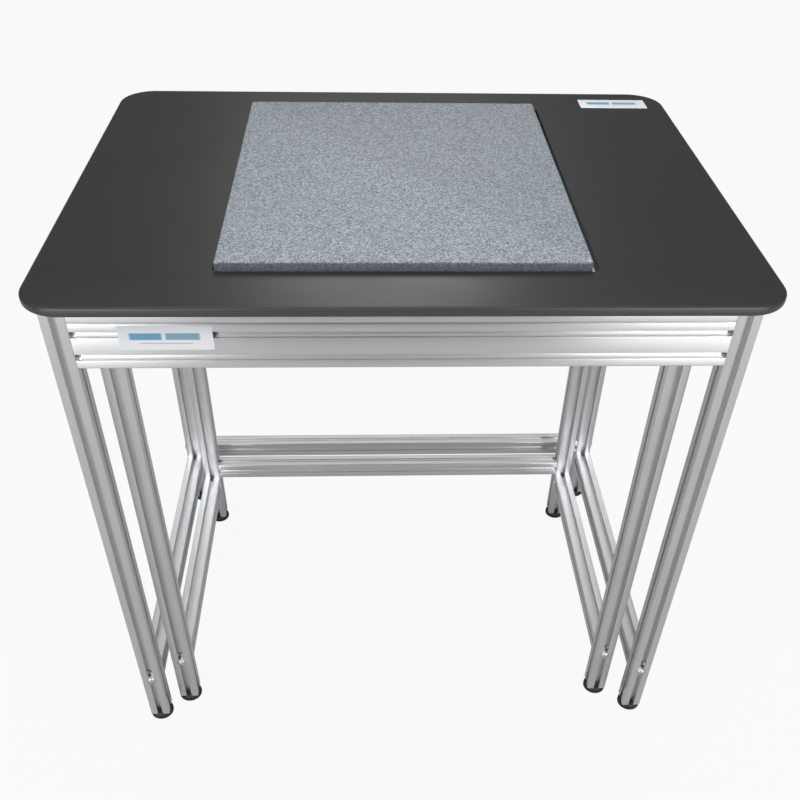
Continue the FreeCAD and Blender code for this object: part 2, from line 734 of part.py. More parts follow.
corner_brackets = []
rail_underside = table_upper - half_profile
for side, inward in (("left", RIGHT), ("right", LEFT)):
    x, y = table_x[side] + half_profile * inward.x, table_y["rear"]
    corner_brackets.append((bracket, (x, y, rail_underside), facing(UP.cross(-inward), UP)))
    screw_into_slot((x, y, rail_underside - D["bracket_leg_hole"]), inward, UP)
    screw_into_slot((x + D["bracket_arm_hole"] * inward.x, y, rail_underside), DOWN, RIGHT)
group("corner_brackets", corner_brackets)

joining_plates = []
apron_back = table_y["front"] + half_profile
for step in (-1, 0, 1):
    x = D["plate_spread"] * step
    joining_plates.append((plate, (x, apron_back, rail_underside), facing(UP, FRONT)))
    for z in (rail_underside - half_profile, rail_underside + half_profile):
        screw_into_slot((x, apron_back, z), BACK, RIGHT)
group("joining_plates", joining_plates)

group("frame_screws", frame_screws)
group("top_screws", top_screws)
group("slot_nuts", slot_nuts)


# ---- stickers ----

def sticker(name, length, depth, height, corner):
    """A thin box with its lowest corner at the given spot."""
    box = doc.addObject("Part::Box", name)
    box.Label = name
    for prop, amount in (("Length", length), ("Width", depth), ("Height", height)):
        box.setExpression(prop, amount.text)
    place(box, corner)
    exported.append(box)


sticker("front_label", D["front_label_length"], D["label_thickness"], D["front_label_height"],
        (table_x["left"] + half_profile + D["front_label_inset"], apron_face - D["label_thickness"],
         apron_middle - D["profile"] + D["front_label_lift"]))
sticker("top_label", D["top_label_length"], D["top_label_depth"], D["label_thickness"],
        (D["top_length"] / 2 - D["top_label_side"] - D["top_label_length"],
         D["top_depth"] / 2 - D["top_label_rear"] - D["top_label_depth"], D["top_height"]))


# ---- check and write ----

doc.recompute()
for item in doc.Objects:
    if "Invalid" in item.State or "Error" in item.State:
        raise ValueError(f"{item.Label} is {item.State}")
for item in exported:
    if item.Shape.isNull() or not item.Shape.isValid():
        raise ValueError(f"{item.Label} has no valid shape")
os.makedirs("parts", exist_ok=True)
for item in exported:
    item.Shape.exportStep(f"parts/{item.Label}.step")
    box = item.Shape.BoundBox
    print(f"{item.Label:28s} solids {len(item.Shape.Solids):2d}  x {box.XMin:8.2f} {box.XMax:8.2f}"
          f"  y {box.YMin:8.2f} {box.YMax:8.2f}  z {box.ZMin:7.2f} {box.ZMax:7.2f}")
print(len(exported), "pieces written")
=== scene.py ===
# %% [markdown]
# # A weighing balance table
# This lesson dresses a table that was drawn in CAD: a black laminate top on an outer frame of slotted
# aluminium, and a granite slab that stands in a cut-out on a second frame of its own. The CAD model is loaded
# as a fixed frame. We never move its nodes. We either give a node a better material, or build a finer piece
# in the same place and say which node it stands for.

# %% Load the frame
import json
import math
import random

import bmesh
import bpy
from mathutils import Matrix, Vector


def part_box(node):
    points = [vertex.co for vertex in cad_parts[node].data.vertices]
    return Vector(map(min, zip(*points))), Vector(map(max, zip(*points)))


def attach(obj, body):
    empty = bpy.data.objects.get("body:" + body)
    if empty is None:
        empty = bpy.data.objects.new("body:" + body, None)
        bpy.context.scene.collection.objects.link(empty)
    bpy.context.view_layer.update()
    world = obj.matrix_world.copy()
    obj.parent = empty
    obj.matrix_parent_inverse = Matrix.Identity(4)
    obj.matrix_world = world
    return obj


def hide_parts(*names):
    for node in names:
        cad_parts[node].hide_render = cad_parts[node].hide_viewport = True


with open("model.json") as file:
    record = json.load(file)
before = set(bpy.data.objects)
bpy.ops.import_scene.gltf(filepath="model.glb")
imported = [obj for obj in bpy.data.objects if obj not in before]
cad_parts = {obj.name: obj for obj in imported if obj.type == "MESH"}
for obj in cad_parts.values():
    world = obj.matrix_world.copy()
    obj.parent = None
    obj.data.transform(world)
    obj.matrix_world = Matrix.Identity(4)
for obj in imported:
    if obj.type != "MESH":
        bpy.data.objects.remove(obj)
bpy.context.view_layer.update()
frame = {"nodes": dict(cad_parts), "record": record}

MM = 0.001
nodes = frame["nodes"]

# %% [markdown]
# ## Which body carries which node
# The record lists every body with its nodes. We turn that round once, so that each new piece can be told to
# ride on the body of the node that it stands for. Each node's material slot is read as well. A maker thinks
# in millimetres and Blender in metres, so a node's box is read in millimetres here.

# %% Bodies and slots by node
record = frame["record"]
body_of_node = {node: body for body, names in record["behaviour"]["bodies"].items() for node in names}
slot_of_node = {part["node"]: part["material_slot"] for part in record["subparts"]}
print(len(body_of_node), "nodes have a body")


def stands_for(piece, node):
    """The piece rides where the node rides and is shown in its place."""
    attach(piece, body_of_node[node])
    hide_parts(node)


def in_mm(node):
    """The lowest and highest corner of a node's box."""
    return [[v / MM for v in corner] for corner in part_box(node)]


def middle_mm(node):
    """The middle of a node's box."""
    return [(a + b) / 2 for a, b in zip(*in_mm(node))]


def add_object(name, data):
    """Put a mesh, curve, lamp or camera into the scene."""
    thing = bpy.data.objects.new(name, data)
    bpy.context.scene.collection.objects.link(thing)
    return thing


# %% [markdown]
# ## A short way to write node trees
# A material, the world and a Geometry Nodes recipe are all trees of nodes. Written out in full, each node
# takes four or five lines, so one small class adds a node, fills its sockets and joins it up in one call.

# %% The tree classes
class NodeTree:
    """A short way to add and join the nodes of any tree."""

    def __init__(self, tree):
        self.tree = tree

    def fill(self, node, values):
        """Link or set inputs, each by its number or by its name, where _ stands for a space."""
        for key, value in values.items():
            socket = node.inputs[key.replace("_", " ") if isinstance(key, str) else key]
            if isinstance(value, bpy.types.NodeSocket):
                self.tree.links.new(value, socket)
            else:
                socket.default_value = value

    def node(self, kind, settings=None, **values):
        """Add a node with these settings and inputs."""
        node = self.tree.nodes.new(kind)
        for name, value in (settings or {}).items():
            setattr(node, name, value)
        self.fill(node, values)
        return node


class ShaderTree(NodeTree):
    """The tree of a material or of the world."""

    def add(self, kind, output=0, settings=None, **values):
        """Add a shader node and give back one of its outputs."""
        return self.node("ShaderNode" + kind, settings, **values).outputs[output]

    def place(self, stretch=(1, 1, 1), source=None):
        """Object coordinates, or those of the source, stretched along the axes."""
        return self.add("Mapping", Vector=source or self.add("TexCoord", "Object"), Scale=stretch)

    def noise(self, scale, detail, place=None, **more):
        """Noise with this many cells to the metre."""
        return self.add("TexNoise", Vector=place or self.place(), Scale=scale, Detail=detail, **more)

    def ramp(self, factor, low, high, start=0.0, end=1.0):
        """A value that goes from start to end as the factor goes from low to high."""
        return self.add("MapRange", Value=factor, From_Min=low, From_Max=high, To_Min=start, To_Max=end)

    def blend(self, factor, first, second):
        """Mix two colours."""
        mix = self.node("ShaderNodeMix", {"data_type": "RGBA"})
        self.fill(mix, {0: factor, 6: first, 7: second})
        return mix.outputs[2]

    def reckon(self, operation, first, second):
        """Arithmetic on two values."""
        step = self.node("ShaderNodeMath", {"operation": operation})
        self.fill(step, {0: first, 1: second})
        return step.outputs[0]

    def plus(self, first, second):
        return self.reckon("ADD", first, second)

    def times(self, first, second):
        return self.reckon("MULTIPLY", first, second)


# %% The Finish class
class Finish(ShaderTree):
    """A material with a Principled shader."""

    def __init__(self, name, **shader_values):
        self.material = bpy.data.materials.new(name)
        self.material.use_nodes = True
        super().__init__(self.material.node_tree)
        self.shader = self.tree.nodes["Principled BSDF"]
        self.fill(self.shader, shader_values)

    def faces_up(self):
        """How far the surface faces up: 1 where it lies level, 0 where it stands upright."""
        return self.add("SeparateXYZ", 2, Vector=self.add("TexCoord", "Normal"))

    def finish(self, colour, rough, height, depth, strength):
        """Join colour, roughness and a bump of this depth in mm to the shader."""
        bump = self.add("Bump", Height=height, Distance=depth * MM, Strength=strength)
        self.fill(self.shader, {"Base Color": colour, "Roughness": rough, "Normal": bump})
        return self.material


def grey(level, blue=0.0):
    """A grey of the given linear level, a little blue if asked."""
    return (level * (1 - blue), level, level * (1 + blue), 1)


print("mid grey, a little blue:", grey(0.5, 0.1))

# %% [markdown]
# ## Anodised aluminium profile
# Slotted profile is pressed hot through a die, so every scratch and streak runs along the bar. The anodised
# skin over it is satin. The streaks are noise that is squeezed hard across the bar and hardly at all along
# it. Each bar lies another way, so the pattern reads an attribute that the bar's own tree stores: the place
# of each point before the bar is turned. The tree also stores the bar's direction, which the shader takes as
# the tangent of its stretched highlight.

# %% Material: anodised aluminium
BAR_PLACE, BAR_WAY = "bar_place", "bar_way"
ACROSS_THE_BAR = 0.25
STREAK_DARK, STREAK_PALE, CLOUDED = grey(0.80, 0.012), grey(0.90, 0.012), grey(0.75, 0.02)


def bar_finish(name, stretched):
    """A metal whose highlight is stretched across the bar, and each point's place on its bar."""
    f = Finish(name, Metallic=1.0, Anisotropic=stretched, Anisotropic_Rotation=ACROSS_THE_BAR)
    f.fill(f.shader, {"Tangent": f.add("Attribute", "Vector", {"attribute_name": BAR_WAY})})
    return f, f.add("Attribute", "Vector", {"attribute_name": BAR_PLACE})


def anodised_aluminium():
    f, along = bar_finish("anodised_aluminium", 0.85)
    streaks = f.noise(1500, 3, f.place((1, 1, 0.003), along))
    clouds = f.noise(45, 4, f.place((1, 1, 0.15), along))
    specks = f.noise(2600, 1, along)
    colour = f.blend(streaks, STREAK_DARK, STREAK_PALE)
    colour = f.blend(f.ramp(clouds, 0.35, 0.7, 0.0, 0.3), colour, CLOUDED)
    rough = f.plus(f.ramp(streaks, 0.2, 0.8, 0.30, 0.36), f.ramp(clouds, 0.3, 0.7, -0.03, 0.05))
    return f.finish(colour, rough, f.plus(streaks, f.times(specks, 0.3)), depth=0.02, strength=0.12)


aluminium = anodised_aluminium()
print("made", aluminium.name)

# %% [markdown]
# ## Black laminate
# Compact laminate is paper and resin pressed solid, with a very fine pebbled surface that spreads the light.
# A small, even noise makes the pebbles, and a large, faint one keeps the sheen from being the same all over,
# as on a wiped surface. The cut edge is a little smoother, and it is paler: partly the core's own tone,
# partly a painted sheen on the rounded edge.

# %% Material: black laminate
# The edge grey is partly the core's own tone and partly a painted sheen on the rounded edge.
LAMINATE_DARK, LAMINATE_PALE, EDGE_CORE_AND_SHEEN = grey(0.0105, 0.04), grey(0.0185, 0.04), grey(0.050, 0.04)


def black_laminate():
    f = Finish("black_laminate", Specular_IOR_Level=0.5)
    pebbles = f.add("TexVoronoi", Vector=f.place(), Scale=900)
    dust = f.noise(2200, 2)
    wiped = f.noise(5, 5, f.place((1, 2.2, 1)))
    faces_up = f.faces_up()
    colour = f.blend(f.ramp(dust, 0.55, 0.75), LAMINATE_DARK, LAMINATE_PALE)
    # Upright faces get the paler edge grey: partly core tone, partly painted sheen.
    colour = f.blend(f.ramp(faces_up, 0.4, 0.95), EDGE_CORE_AND_SHEEN, colour)
    rough = f.plus(f.ramp(wiped, 0.3, 0.7, 0.36, 0.42), f.ramp(faces_up, 0.4, 0.95, -0.13, 0.0))
    return f.finish(colour, rough, f.plus(pebbles, dust), depth=0.04, strength=0.25)


laminate = black_laminate()
print("made", laminate.name)

# %% [markdown]
# ## Grey granite
# Granite is a packing of grains a millimetre or two across: pale feldspar, grey quartz and black mica. Cell
# noise gives each grain one value, and two ramps sort the grains into the three minerals. Their edges wobble,
# and a finer layer breaks them up with glints and pits. The slab's sawn sides are darker than its top, and
# the way the surface faces tells the two apart.

# %% Material: granite
MICA, QUARTZ, FELDSPAR = grey(0.150, 0.10), grey(0.315, 0.10), grey(0.475, 0.09)
GLINT, PIT, CLOUD, SAWN = grey(0.60, 0.08), grey(0.095, 0.08), grey(0.28, 0.10), grey(0.070, 0.12)
GRAIN_WOBBLE = (1.6 * MM,) * 3


def grey_granite():
    f = Finish("grey_granite", Specular_IOR_Level=0.4)
    wobble = f.add("TexNoise", "Color", Vector=f.place(), Scale=300, Detail=2)
    moved = f.node("ShaderNodeVectorMath", {"operation": "MULTIPLY_ADD"})
    f.fill(moved, {0: wobble, 1: GRAIN_WOBBLE, 2: f.place()})
    grains = f.add("TexVoronoi", "Color", Vector=moved.outputs[0], Scale=690)
    grain = f.add("SeparateColor", 0, Color=grains)
    fines = f.noise(1800, 4, Roughness=0.7)
    colour = MICA
    for layer, factor, *limits in ((QUARTZ, grain, 0.25, 0.45), (FELDSPAR, grain, 0.62, 0.85),
                                   (GLINT, fines, 0.56, 0.70, 0, 0.45), (PIT, fines, 0.46, 0.34, 0, 0.55),
                                   (CLOUD, f.noise(26, 3), 0.35, 0.65, 0, 0.12)):
        colour = f.blend(f.ramp(factor, *limits), colour, layer)
    sides = f.blend(0.75, colour, SAWN)
    colour = f.blend(f.ramp(f.faces_up(), 0.15, 0.75), sides, colour)
    rough = f.ramp(fines, 0.3, 0.7, 0.55, 0.75)
    return f.finish(colour, rough, f.plus(fines, grain), depth=0.3, strength=0.6)


granite = grey_granite()
print("made", granite.name)

# %% [markdown]
# ## Rubber, zinc-plated steel and bright strip
# Rubber and cap plastic are nearly black and dull, with a fine moulded grain. Zinc plate on bolts and
# brackets is grey, with faint round clouds. The strips in the slots are drawn aluminium, smoother and
# brighter than the bars, with faint lines along them.

# %% Materials: small parts
STRIP_DARK, STRIP_PALE = grey(0.85, 0.01), grey(0.94, 0.01)


def moulded(name, base, rough, scale=1800, spread=0.35, metallic=0.0):
    """A plain moulded or plated finish with grain of the given scale."""
    f = Finish(name, Metallic=metallic)
    grain, clouds = f.noise(scale, 3), f.noise(scale / 20, 4)
    mottle = f.times(f.plus(grain, clouds), 0.5)
    colour = f.blend(mottle, grey(base * (1 - spread)), grey(base * (1 + spread)))
    rough = f.ramp(clouds, 0.3, 0.7, rough - 0.06, rough + 0.06)
    return f.finish(colour, rough, grain, depth=0.06, strength=0.4)


def drawn_strip():
    f, along = bar_finish("drawn_strip", 0.92)
    lines = f.noise(1400, 2, f.place((1, 1, 0.002), along))
    dust = f.noise(700, 3, along)
    colour = f.blend(f.times(f.plus(lines, dust), 0.5), STRIP_DARK, STRIP_PALE)
    return f.finish(colour, f.ramp(dust, 0.3, 0.7, 0.37, 0.41), lines, depth=0.01, strength=0.1)


rubber = moulded("foot_rubber", 0.012, 0.50)
pad_rubber = moulded("pad_rubber", 0.014, 0.75, 900)
cap_plastic = moulded("cap_plastic", 0.012, 0.55, 1400)
zinc = moulded("zinc_plate", 0.66, 0.32, 700, 0.15, 1.0)
bright_strip = drawn_strip()
print("made", [m.name for m in (rubber, pad_rubber, cap_plastic, zinc, bright_strip)])

# %% [markdown]
# ## Outlines and rings
# Nothing that is pressed or moulded has a perfectly sharp corner. The first helper takes the corners of a
# polygon, each with a radius, and gives back its points with a short arc in place of each corner. The second
# draws a ring whose radius may change as it goes round, so it makes a bore, a hexagon or a row of grips.

# %% Helpers: outlines and rings
QUARTER = math.pi / 2


def eased(corners, steps=3):
    """Points of a closed polygon whose corners (x, y, radius) are rounded."""
    points = []
    for index, (x, y, radius) in enumerate(corners):
        here = Vector((x, y))
        before = (Vector(corners[index - 1][:2]) - here).normalized()
        after = (Vector(corners[(index + 1) % len(corners)][:2]) - here).normalized()
        half = before.angle(after) / 2
        reach = radius / math.tan(half)
        centre = here + (before + after).normalized() * radius / math.sin(half)
        start, end = here + before * reach - centre, here + after * reach - centre
        sweep = start.angle_signed(end)
        for step in range(steps + 1):
            points.append(centre + Matrix.Rotation(-sweep * step / steps, 2) @ start)
    return points


def ring(radius, x=0, y=0, z=0, steps=24):
    """A level ring round (x, y). Its radius is a number, or a function of the angle."""
    points = []
    for k in range(steps):
        angle = math.tau * k / steps
        r = radius(angle) if callable(radius) else radius
        points.append((x + r * math.cos(angle), y + r * math.sin(angle), z))
    return points


def outline_object(name, loops):
    """A flat curve object with one closed line for each loop, in mm."""
    curve = bpy.data.curves.new(name, "CURVE")
    curve.dimensions = "2D"
    for loop in loops:
        line = curve.splines.new("POLY")
        line.points.add(len(loop) - 1)
        for point, place in zip(line.points, loop):
            point.co = (place[0] * MM, place[1] * MM, 0, 1)
        line.use_cyclic_u = True
    return add_object(name, curve)


print("a triangle with eased corners has", len(eased([(0, 0, 1), (9, 0, 1), (0, 9, 1)])), "points")

# %% [markdown]
# ## The sections of the slotted bars
# A 30 mm profile has the same T-slot in all four sides: an 8 mm opening between two lips, a wider hollow
# behind them, and a floor near the core. So we write one side and turn it. The apron under the front edge is
# a double profile, 60 by 30 mm, with two slots on its long sides. Each core has a bore for a bolt.

# %% Sections
PROFILE = 30
SIDE = PROFILE / 2
CORNER_EASE, BORE_RADIUS = 2.0, 4.3
# half a slot, from its mouth inwards: distance from its middle, depth and corner radius
T_SLOT = [(4, 0, 0.5), (4, 2.5, 0.3), (8.25, 2.5, 0.5), (8.25, 4.7, 0.5), (4.2, 8.8, 0.6)]


def slotted_side(reach, width, slots, turn):
    """The corners of one side, anticlockwise: its first corner, then its slots."""
    corners = [(width / 2, reach, CORNER_EASE)]
    for middle in slots:
        corners += [(middle + x, reach - depth, r) for x, depth, r in T_SLOT]
        corners += [(middle - x, reach - depth, r) for x, depth, r in reversed(T_SLOT)]
    c, s = round(math.cos(turn)), round(math.sin(turn))
    return [(x * c - y * s, x * s + y * c, r) for x, y, r in corners]


def section_corners(sides):
    """The corners of a whole section: each side lies a quarter turn after the one before it."""
    return [corner for k, side in enumerate(sides) for corner in slotted_side(*side, k * QUARTER)]


square_corners = section_corners([(SIDE, PROFILE, [0])] * 4)
double_corners = section_corners([(SIDE, PROFILE * 2, [SIDE, -SIDE]), (PROFILE, PROFILE, [0])] * 2)
square_section = outline_object("square_section", [eased(square_corners), ring(BORE_RADIUS)])
double_section = outline_object("double_section", [eased(double_corners), ring(BORE_RADIUS, SIDE),
                                                   ring(BORE_RADIUS, -SIDE)])
print("square section", len(square_corners), "corners, double section", len(double_corners))

# %% [markdown]
# ## A tree that presses bars
# Every bar and strip on this table is one section pushed along one line, so one short Geometry Nodes tree
# makes all thirty: it fills the section, extrudes it to the given length, closes the start, stores the two
# attributes that the aluminium material reads, and turns and moves the bar into place.

# %% Helpers: build and run a tree
class GeometryTree(NodeTree):
    """A Geometry Nodes tree with named inputs."""

    def __init__(self, name, inputs):
        super().__init__(bpy.data.node_groups.new(name, "GeometryNodeTree"))
        for label, kind in (("Geometry", "Geometry"), *inputs):
            self.tree.interface.new_socket(label, in_out="INPUT", socket_type="NodeSocket" + kind)
        self.tree.interface.new_socket("Geometry", in_out="OUTPUT", socket_type="NodeSocketGeometry")
        self.given = self.tree.nodes.new("NodeGroupInput").outputs

    def add(self, kind, settings=None, **values):
        """Add a node and give back its outputs."""
        return self.node(kind, settings, **values).outputs

    def store(self, geometry, name, vector):
        """Keep a vector with each point, under this name."""
        return self.add("GeometryNodeStoreNamedAttribute", {"data_type": "FLOAT_VECTOR"}, Geometry=geometry,
                        Name=name, Value=vector)["Geometry"]

    def end(self, geometry, finish):
        """Make every part real, give it its finish and end the tree with it."""
        real = self.add("GeometryNodeRealizeInstances", Geometry=geometry)["Geometry"]
        dressed = self.add("GeometryNodeSetMaterial", Geometry=real, Material=finish)["Geometry"]
        self.fill(self.tree.nodes.new("NodeGroupOutput"), {0: dressed})
        return self.tree


def run_tree(name, tree, base, values):
    """Run a tree on a mesh with these inputs, and keep its result as a plain mesh object."""
    maker = add_object(name + "_maker", base)
    modifier = maker.modifiers.new("make", "NODES")
    modifier.node_group = tree
    for item in tree.interface.items_tree:
        if item.in_out == "INPUT" and item.name in values:
            modifier[item.identifier] = values[item.name]
    seen = maker.evaluated_get(bpy.context.evaluated_depsgraph_get())
    mesh = bpy.data.meshes.new_from_object(seen)
    mesh.name = name
    bpy.data.objects.remove(maker)
    return add_object(name, mesh)


# %% The bar tree
SAME_POINT, SHARP_ANGLE = 1e-6, math.radians(35)


def bar_tree():
    t = GeometryTree("pressed_bar", [("Section", "Object"), ("Length", "Float"), ("Start", "Vector"),
                                     ("Turn", "Rotation"), ("Finish", "Material")])
    turn = t.given["Turn"]
    section = t.add("GeometryNodeObjectInfo", {"transform_space": "ORIGINAL"}, Object=t.given["Section"])
    face = t.add("GeometryNodeFillCurve", Curve=section["Geometry"])["Mesh"]
    rise = t.add("ShaderNodeCombineXYZ", Z=t.given["Length"])["Vector"]
    walls = t.add("GeometryNodeExtrudeMesh", Mesh=face, Offset=rise, Individual=False)["Mesh"]
    floor = t.add("GeometryNodeFlipFaces", Mesh=face)["Mesh"]
    both = t.node("GeometryNodeJoinGeometry")
    for part in (floor, walls):
        t.fill(both, {0: part})
    closed = t.add("GeometryNodeMergeByDistance", Geometry=both.outputs[0], Distance=SAME_POINT)["Geometry"]
    placed = t.store(closed, BAR_PLACE, t.add("GeometryNodeInputPosition")["Position"])
    way = t.add("FunctionNodeRotateVector", Vector=(0, 0, 1), Rotation=turn)["Vector"]
    smooth = t.add("GeometryNodeSetShadeSmooth", Geometry=t.store(placed, BAR_WAY, way))["Geometry"]
    bend = t.add("GeometryNodeInputMeshEdgeAngle")["Unsigned Angle"]
    sharp = t.add("FunctionNodeCompare", {"operation": "GREATER_THAN"}, A=bend, B=SHARP_ANGLE)["Result"]
    crisp = t.add("GeometryNodeSetShadeSmooth", {"domain": "EDGE"}, Geometry=smooth, Selection=sharp,
                  Shade_Smooth=False)["Geometry"]
    put = t.add("GeometryNodeTransform", Geometry=crisp, Translation=t.given["Start"], Rotation=turn)
    return t.end(put["Geometry"], t.given["Finish"])


pressed_bar = bar_tree()
print("pressed_bar has", len(pressed_bar.nodes), "nodes")

# %% [markdown]
# ## Which way a bar lies
# A bar starts at its section and runs along its own Z. To lay it along X or Y we need the turn that takes Z
# there and keeps the section's own Y facing a chosen way. Three directions at right angles make that turn,
# with no angles to work out by hand.

# %% Bars
RIGHT, BACK, UP = Vector((1, 0, 0)), Vector((0, 1, 0)), Vector((0, 0, 1))
# for a bar along X, Y or Z: the way that it runs, and the way that its section's Y faces
WAYS = ((RIGHT, BACK), (BACK, RIGHT), (UP, BACK))


def facing(along, outward):
    """The turn that takes Z to along and Y to outward."""
    return Matrix((outward.cross(along), outward, along)).transposed()


def press(name, section, length, start, along, outward, finish):
    """Push a section along a line. The length and the start are in metres."""
    return run_tree(name, pressed_bar, bpy.data.meshes.new("seed"), {
        "Section": section, "Length": length, "Start": start,
        "Turn": facing(along, outward).to_euler(), "Finish": finish})


def lay_bar(node):
    """Press the bar for a node: it fills the node's box from end to end."""
    low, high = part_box(node)
    size = high - low
    axis = max(range(3), key=lambda k: size[k])
    start = (low + high) / 2
    start[axis] = low[axis]
    widest = max(size[k] for k in range(3) if k != axis)
    section = double_section if widest > 1.5 * PROFILE * MM else square_section
    return press("bar_" + node, section, size[axis], start, *WAYS[axis], aluminium)


bars = {name: lay_bar(name) for name in nodes if slot_of_node[name] == "anodised_aluminium"}
print(len(bars), "bars,", sum(len(bar.data.polygons) for bar in bars.values()), "faces")
for name, bar in bars.items():
    stands_for(bar, name)

# %% [markdown]
# ## Shapes from stacked rings
# A board, a slab, a screw head and a rubber foot have one thing in common: each can be drawn as closed rings
# of the same number of points, one above the other, joined by bands of quads. Rings give clean, even faces
# and put every radius under a name.

# %% Helpers: skin a stack of rings
def skin(name, rings, finish, looped=False, smooth_below=40):
    """A closed mesh through rings of equal length, in mm. Its ends are filled unless it is looped."""
    count = len(rings[0])
    points = [Vector(point) * MM for ring_points in rings for point in ring_points]
    faces = []
    for level in range(len(rings) if looped else len(rings) - 1):
        low, high = level * count, (level + 1) % len(rings) * count
        faces += [(low + k, low + (k + 1) % count, high + (k + 1) % count, high + k) for k in range(count)]
    if not looped:
        faces.append(tuple(reversed(range(count))))
        faces.append(tuple(range(len(points) - count, len(points))))
    mesh = bpy.data.meshes.new(name)
    mesh.from_pydata(points, [], faces)
    mesh.materials.append(finish)
    tidy_normals(mesh)
    mesh.shade_smooth()
    mesh.set_sharp_from_angle(angle=math.radians(smooth_below))
    return mesh


def tidy_normals(mesh):
    """Merge doubles and turn every face outwards."""
    work = bmesh.new()
    work.from_mesh(mesh)
    bmesh.ops.remove_doubles(work, verts=work.verts, dist=1e-7)
    bmesh.ops.recalc_face_normals(work, faces=work.faces)
    work.to_mesh(mesh)
    work.free()


def skinned(name, rings, finish, **options):
    """An object with a skin through these rings."""
    return add_object(name, skin(name, rings, finish, **options))


def quarter_round(radius, steps):
    """How far a round edge draws in and drops at each step, from its flat face to its side."""
    turns = [QUARTER * k / steps for k in range(steps + 1)]
    return [(radius * (1 - math.sin(a)), radius * (1 - math.cos(a))) for a in turns]


def soft_rectangle(low, high, shrink, radius, z, steps, along=1):
    """A level ring round a shrunken rectangle with round corners, with extra points along its sides."""
    x0, x1, y0, y1 = low[0] + shrink, high[0] - shrink, low[1] + shrink, high[1] - shrink
    middles = ((x1 - radius, y1 - radius), (x0 + radius, y1 - radius),
               (x0 + radius, y0 + radius), (x1 - radius, y0 + radius))
    arc = []
    for turn, (x, y) in enumerate(middles):
        for k in range(steps + 1):
            angle = (turn + k / steps) * QUARTER
            arc.append(Vector((x + radius * math.cos(angle), y + radius * math.sin(angle), z)))
    points = []
    for index, point in enumerate(arc):
        points.append(point)
        if index % (steps + 1) == steps:
            next_corner = arc[(index + 1) % len(arc)]
            points += [point.lerp(next_corner, k / along) for k in range(1, along)]
    return points


print("a soft square ring has", len(soft_rectangle((0, 0), (9, 9), 0, 2, 0, 8)), "points")

# %% [markdown]
# ## The tabletop
# The top is one 12 mm board. Its outer edge is routed to a soft round, and the cut-out's edge only has its
# arris taken off. Seen in section it is a flat loop, so the rings go round that loop: up the inside of the
# cut-out, out over the top, down the rounded edge and back under the board.

# %% Tabletop
TOP_CORNER, EDGE_ROUND = 50, 4.2
CUTOUT_LOW, CUTOUT_HIGH = (-220, -258), (220, 266)
CUTOUT_CORNER, ARRIS = 6, 0.7
BOARD_CORNER_STEPS, BOARD_EDGE_STEPS = 16, 8


def board_rings():
    low, high = in_mm("tabletop")
    under, over = low[2], high[2]

    def inner(grow, z):
        return soft_rectangle(CUTOUT_LOW, CUTOUT_HIGH, -grow, CUTOUT_CORNER + grow, z, BOARD_CORNER_STEPS)

    def outer(shrink, z):
        return soft_rectangle(low, high, shrink, TOP_CORNER - shrink, z, BOARD_CORNER_STEPS)

    edge = quarter_round(EDGE_ROUND, BOARD_EDGE_STEPS)
    rings = [inner(ARRIS, under), inner(0, under + ARRIS), inner(0, over - ARRIS), inner(ARRIS, over)]
    rings += [outer(shrink, over - drop) for shrink, drop in edge]
    return rings + [outer(shrink, under + drop) for shrink, drop in reversed(edge)]


board = skinned("black_board", board_rings(), laminate, looped=True)
stands_for(board, "tabletop")
print("board:", len(board.data.polygons), "faces")

# %% [markdown]
# ## The slab
# The slab's sides are sawn, so its arris is never a clean line: grains break out of it. Extra points along
# each side are pushed in by a small, seeded random amount, most at the arris.

# %% Granite slab
SLAB_CORNER, SLAB_CORNER_STEPS, POINTS_ALONG = 1.5, 3, 90


def slab_rings():
    low, high = in_mm("granite_slab")
    z0, z1 = low[2], high[2]
    dice = random.Random(11)
    # from the bottom up: how far each ring draws in, its height, and how much it is worn
    levels = [(1.2, z0, 0.3), (0.3, z0 + 1.0, 0.3), (0.1, z0 + 14, 0.1), (0.1, z0 + 28, 0.1),
              (0.2, z1 - 2.2, 0.35), (0.6, z1 - 1.0, 0.5), (1.4, z1 - 0.35, 0.5), (2.4, z1, 0.25)]
    rings = []
    for shrink, z, wear in levels:
        points = soft_rectangle(low, high, shrink, SLAB_CORNER, z, SLAB_CORNER_STEPS, POINTS_ALONG)
        middle = Vector(((low[0] + high[0]) / 2, (low[1] + high[1]) / 2, z))
        for point in points:
            inward = (middle - point).normalized()
            point += inward * wear * dice.random()
            if z0 < z < z1:
                point.z -= wear * 0.5 * dice.random()
        rings.append(points)
    return rings


slab = skinned("speckled_slab", slab_rings(), granite, smooth_below=60)
stands_for(slab, "granite_slab")
print("slab:", len(slab.data.polygons), "faces")

# %% [markdown]
# ## Feet
# Each foot is moulded rubber, round, with a flat sole that has a shallow ring in it and a domed shoulder. A
# row of small moulded grips runs round its widest part, as a leg is levelled by turning its foot by hand.
# The ring's radius goes in and out as it goes round, so a turned shape and its grips come from one skin.

# %% Rubber feet
FOOT_STEPS, GRIPS = 96, 24
# from the sole out, over the shoulder and down into the stud's hole: radius, height, depth of the grips
FOOT_LEVELS = [(12.0, 0.7, 0), (12.4, 0.0, 0), (15.5, 0.0, 0), (17.3, 0.8, 0), (18.3, 2.1, 0),
               (18.5, 3.0, 0.4), (18.5, 5.6, 0.4), (18.2, 6.8, 0), (17.2, 8.9, 0), (15.4, 10.6, 0),
               (13.2, 11.6, 0), (11.0, 12.0, 0), (4.3, 12.0, 0), (4.3, 7.0, 0)]


def foot_ring(x, y, radius, z, grip):
    """A ring that goes in by the depth of a grip, as many times as there are grips."""
    return ring(lambda angle: radius - grip * (0.5 - 0.5 * math.cos(angle * GRIPS)), x, y, z, FOOT_STEPS)


